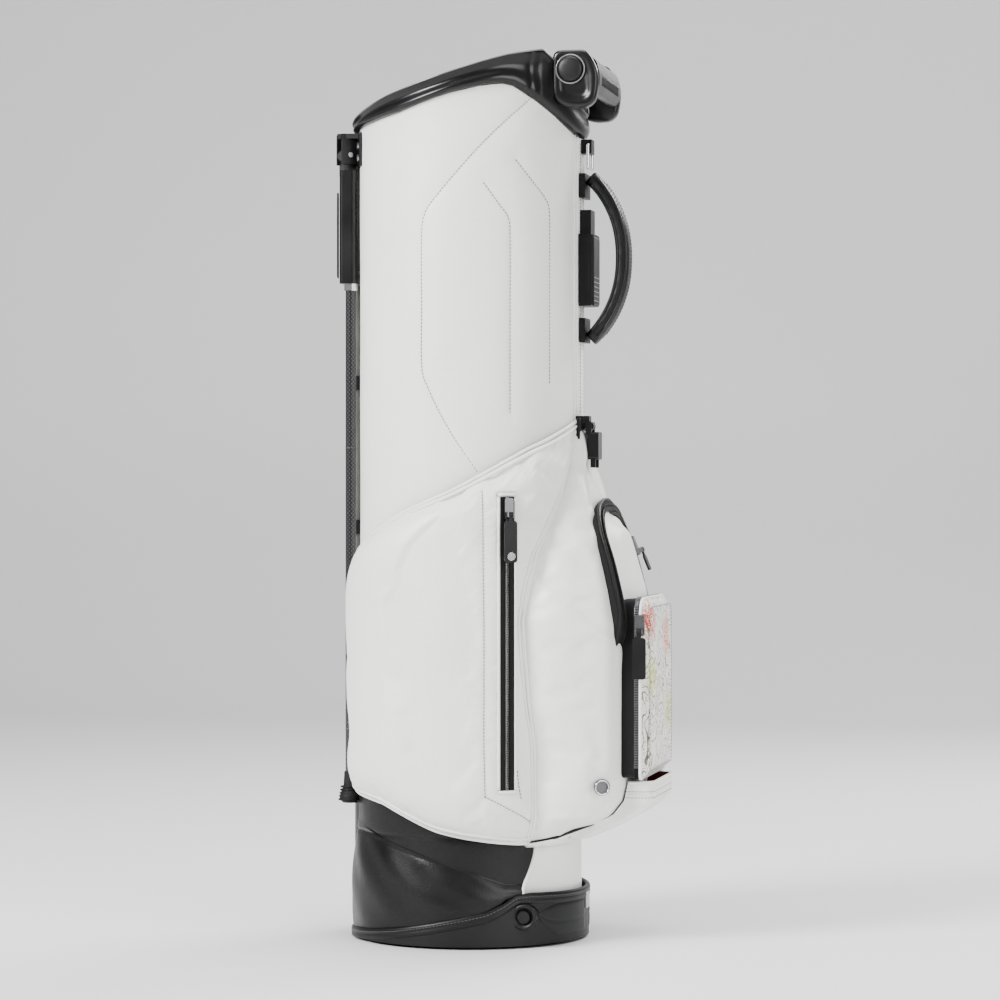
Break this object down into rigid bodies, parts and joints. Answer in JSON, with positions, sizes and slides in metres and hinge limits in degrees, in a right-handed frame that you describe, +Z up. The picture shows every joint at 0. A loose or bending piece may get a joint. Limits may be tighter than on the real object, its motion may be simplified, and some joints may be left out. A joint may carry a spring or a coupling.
{
  "type": "golf stand bag",
  "caption": "Golf carry bag with a divided club tube, padded pockets, arched grip, tipping base and two folding stand legs.",
  "frame": {"origin": "middle of the flat underside of the base, on the surface that the bag stands on", "axes": "+Z up along the club tube, +X to the front with the carry handle and ball pocket, -X to the stand legs"},
  "size_m": [0.3278, 0.29, 0.872],
  "materials": {
    "white_leather": "smooth pebbled synthetic leather",
    "black_leather": "soft satin leather",
    "black_plastic": "fine moulded texture",
    "gloss_black": "glossy moulding",
    "carbon": "clear-coated woven fibre",
    "black_rubber": "matt",
    "chrome": "polished",
    "gunmetal": "dark polished metal",
    "steel": "satin",
    "zip_tape": "woven tape with moulded teeth",
    "divider_fabric": "brushed lining",
    "stay_rod": "glass fibre rod"
  },
  "bodies": {
    "bag": {"bag_shell": "white_leather", "lower_band": "black_leather", "top_collar": "black_leather", "divider_top": "divider_fabric", "divider_panels": "divider_fabric", "stay_rods": "stay_rod", "lower_ring": "black_plastic", "frame_arms": "black_plastic", "pivot_bolts": "gunmetal", "skirt": "black_leather", "front_pocket": "white_leather", "valuables_zip": "zip_tape", "valuables_panel": "white_leather", "ball_zip": "zip_tape", "ball_pocket": "white_leather", "holder_cup": "white_leather", "pocket_badges": "gunmetal", "spine_panel": "white_leather", "ring_tab": "black_leather", "carry_handle": "black_leather", "handle_anchors": "black_leather", "spine_pad": "black_leather", "lift_handle": "gloss_black", "lift_caps": "gloss_black", "clip_tab": "zip_tape", "leg_bracket": "black_plastic", "leg_pins": "steel", "bracket_rivets": "gunmetal", "rod_guides": "black_plastic", "side_pocket_near": "white_leather", "side_zip_near": "zip_tape", "side_pocket_far": "white_leather", "side_zip_far": "zip_tape"},
    "base": {"base_cup": "black_plastic", "base_sole": "black_rubber", "base_badge": "steel"},
    "push_rod": {"push_rod": "steel", "rod_boot": "black_rubber"},
    "leg_near": {"leg_housing_near": "black_plastic", "leg_tube_near": "carbon", "leg_ferrule_near": "steel", "leg_foot_near": "black_rubber"},
    "leg_far": {"leg_housing_far": "black_plastic", "leg_tube_far": "carbon", "leg_ferrule_far": "steel", "leg_foot_far": "black_rubber"},
    "side_slider_near": {"side_slider_near": "gunmetal"},
    "side_puller_near": {"side_puller_near": "black_leather", "side_stud_near": "gunmetal"},
    "side_slider_far": {"side_slider_far": "gunmetal"},
    "side_puller_far": {"side_puller_far": "black_leather", "side_stud_far": "gunmetal"},
    "ball_slider": {"ball_slider": "gunmetal"},
    "ball_puller": {"ball_puller": "black_leather"},
    "valuables_slider": {"valuables_slider": "gunmetal"},
    "valuables_puller": {"valuables_puller": "black_leather"},
    "spine_ring": {"spine_ring": "chrome"},
    "strap_clip": {"strap_clip": "black_plastic"}
  },
  "joints": [
    {"name": "base_tilt", "type": "hinge", "parent": "bag", "child": "base", "pos_m": [0.074, 0, 0.031], "axis": [0, 1, 0], "range_deg": [0, 27], "stiffness_Nm_per_rad": 10, "springref_deg": -25.78, "deforming": ["skirt"]},
    {"name": "rod_rise", "type": "slide", "parent": "bag", "child": "push_rod", "axis": [0, 0, 1], "range_m": [0, 0.09]},
    {"name": "leg_near_swing", "type": "hinge", "parent": "bag", "child": "leg_near", "pos_m": [-0.12, -0.027, 0.778], "axis": [-0.515, 0.8572, 0], "range_deg": [0, 37.6]},
    {"name": "leg_far_swing", "type": "hinge", "parent": "bag", "child": "leg_far", "pos_m": [-0.12, 0.027, 0.778], "axis": [0.515, 0.8572, 0], "range_deg": [0, 37.6]},
    {"name": "side_zip_near_pull", "type": "slide", "parent": "bag", "child": "side_slider_near", "axis": [0, 0, -1], "range_m": [0, 0.25]},
    {"name": "side_zip_far_pull", "type": "slide", "parent": "bag", "child": "side_slider_far", "axis": [0, 0, -1], "range_m": [0, 0.25]},
    {"name": "side_puller_near_flip", "type": "hinge", "parent": "side_slider_near", "child": "side_puller_near", "pos_m": [0.0681, -0.13186, 0.42], "axis": [-0.8237, -0.567, 0], "range_deg": [0, 120]},
    {"name": "side_puller_far_flip", "type": "hinge", "parent": "side_slider_far", "child": "side_puller_far", "pos_m": [0.0681, 0.13186, 0.42], "axis": [0.8237, -0.567, 0], "range_deg": [0, 120]},
    {"name": "ball_zip_pull", "type": "slide", "parent": "bag", "child": "ball_slider", "axis": [0, 0, -1], "range_m": [0, 0.13]},
    {"name": "ball_puller_flip", "type": "hinge", "parent": "ball_slider", "child": "ball_puller", "pos_m": [0.18405, -0.08195, 0.307], "axis": [-1, 0, 0], "range_deg": [0, 120]},
    {"name": "valuables_zip_pull", "type": "slide", "parent": "bag", "child": "valuables_slider", "axis": [0.3714, 0, -0.9285], "range_m": [0, 0.02]},
    {"name": "valuables_puller_flip", "type": "hinge", "parent": "valuables_slider", "child": "valuables_puller", "pos_m": [0.16462, 0.0515, 0.38427], "axis": [0, -1, 0], "range_deg": [0, 120]},
    {"name": "spine_ring_swing", "type": "hinge", "parent": "bag", "child": "spine_ring", "pos_m": [0.121, 0, 0.785], "axis": [0, -1, 0], "range_deg": [0, 100]},
    {"name": "strap_clip_swing", "type": "hinge", "parent": "bag", "child": "strap_clip", "pos_m": [0.1235, -0.012, 0.507], "axis": [0, -1, 0], "range_deg": [0, 70]}
  ],
  "couplings": [
    {"joint": "rod_rise", "follows": "base_tilt", "m_per_rad": 0.19},
    {"joint": "leg_near_swing", "follows": "base_tilt", "ratio": 1.3889},
    {"joint": "leg_far_swing", "follows": "base_tilt", "ratio": 1.3889}
  ]
}
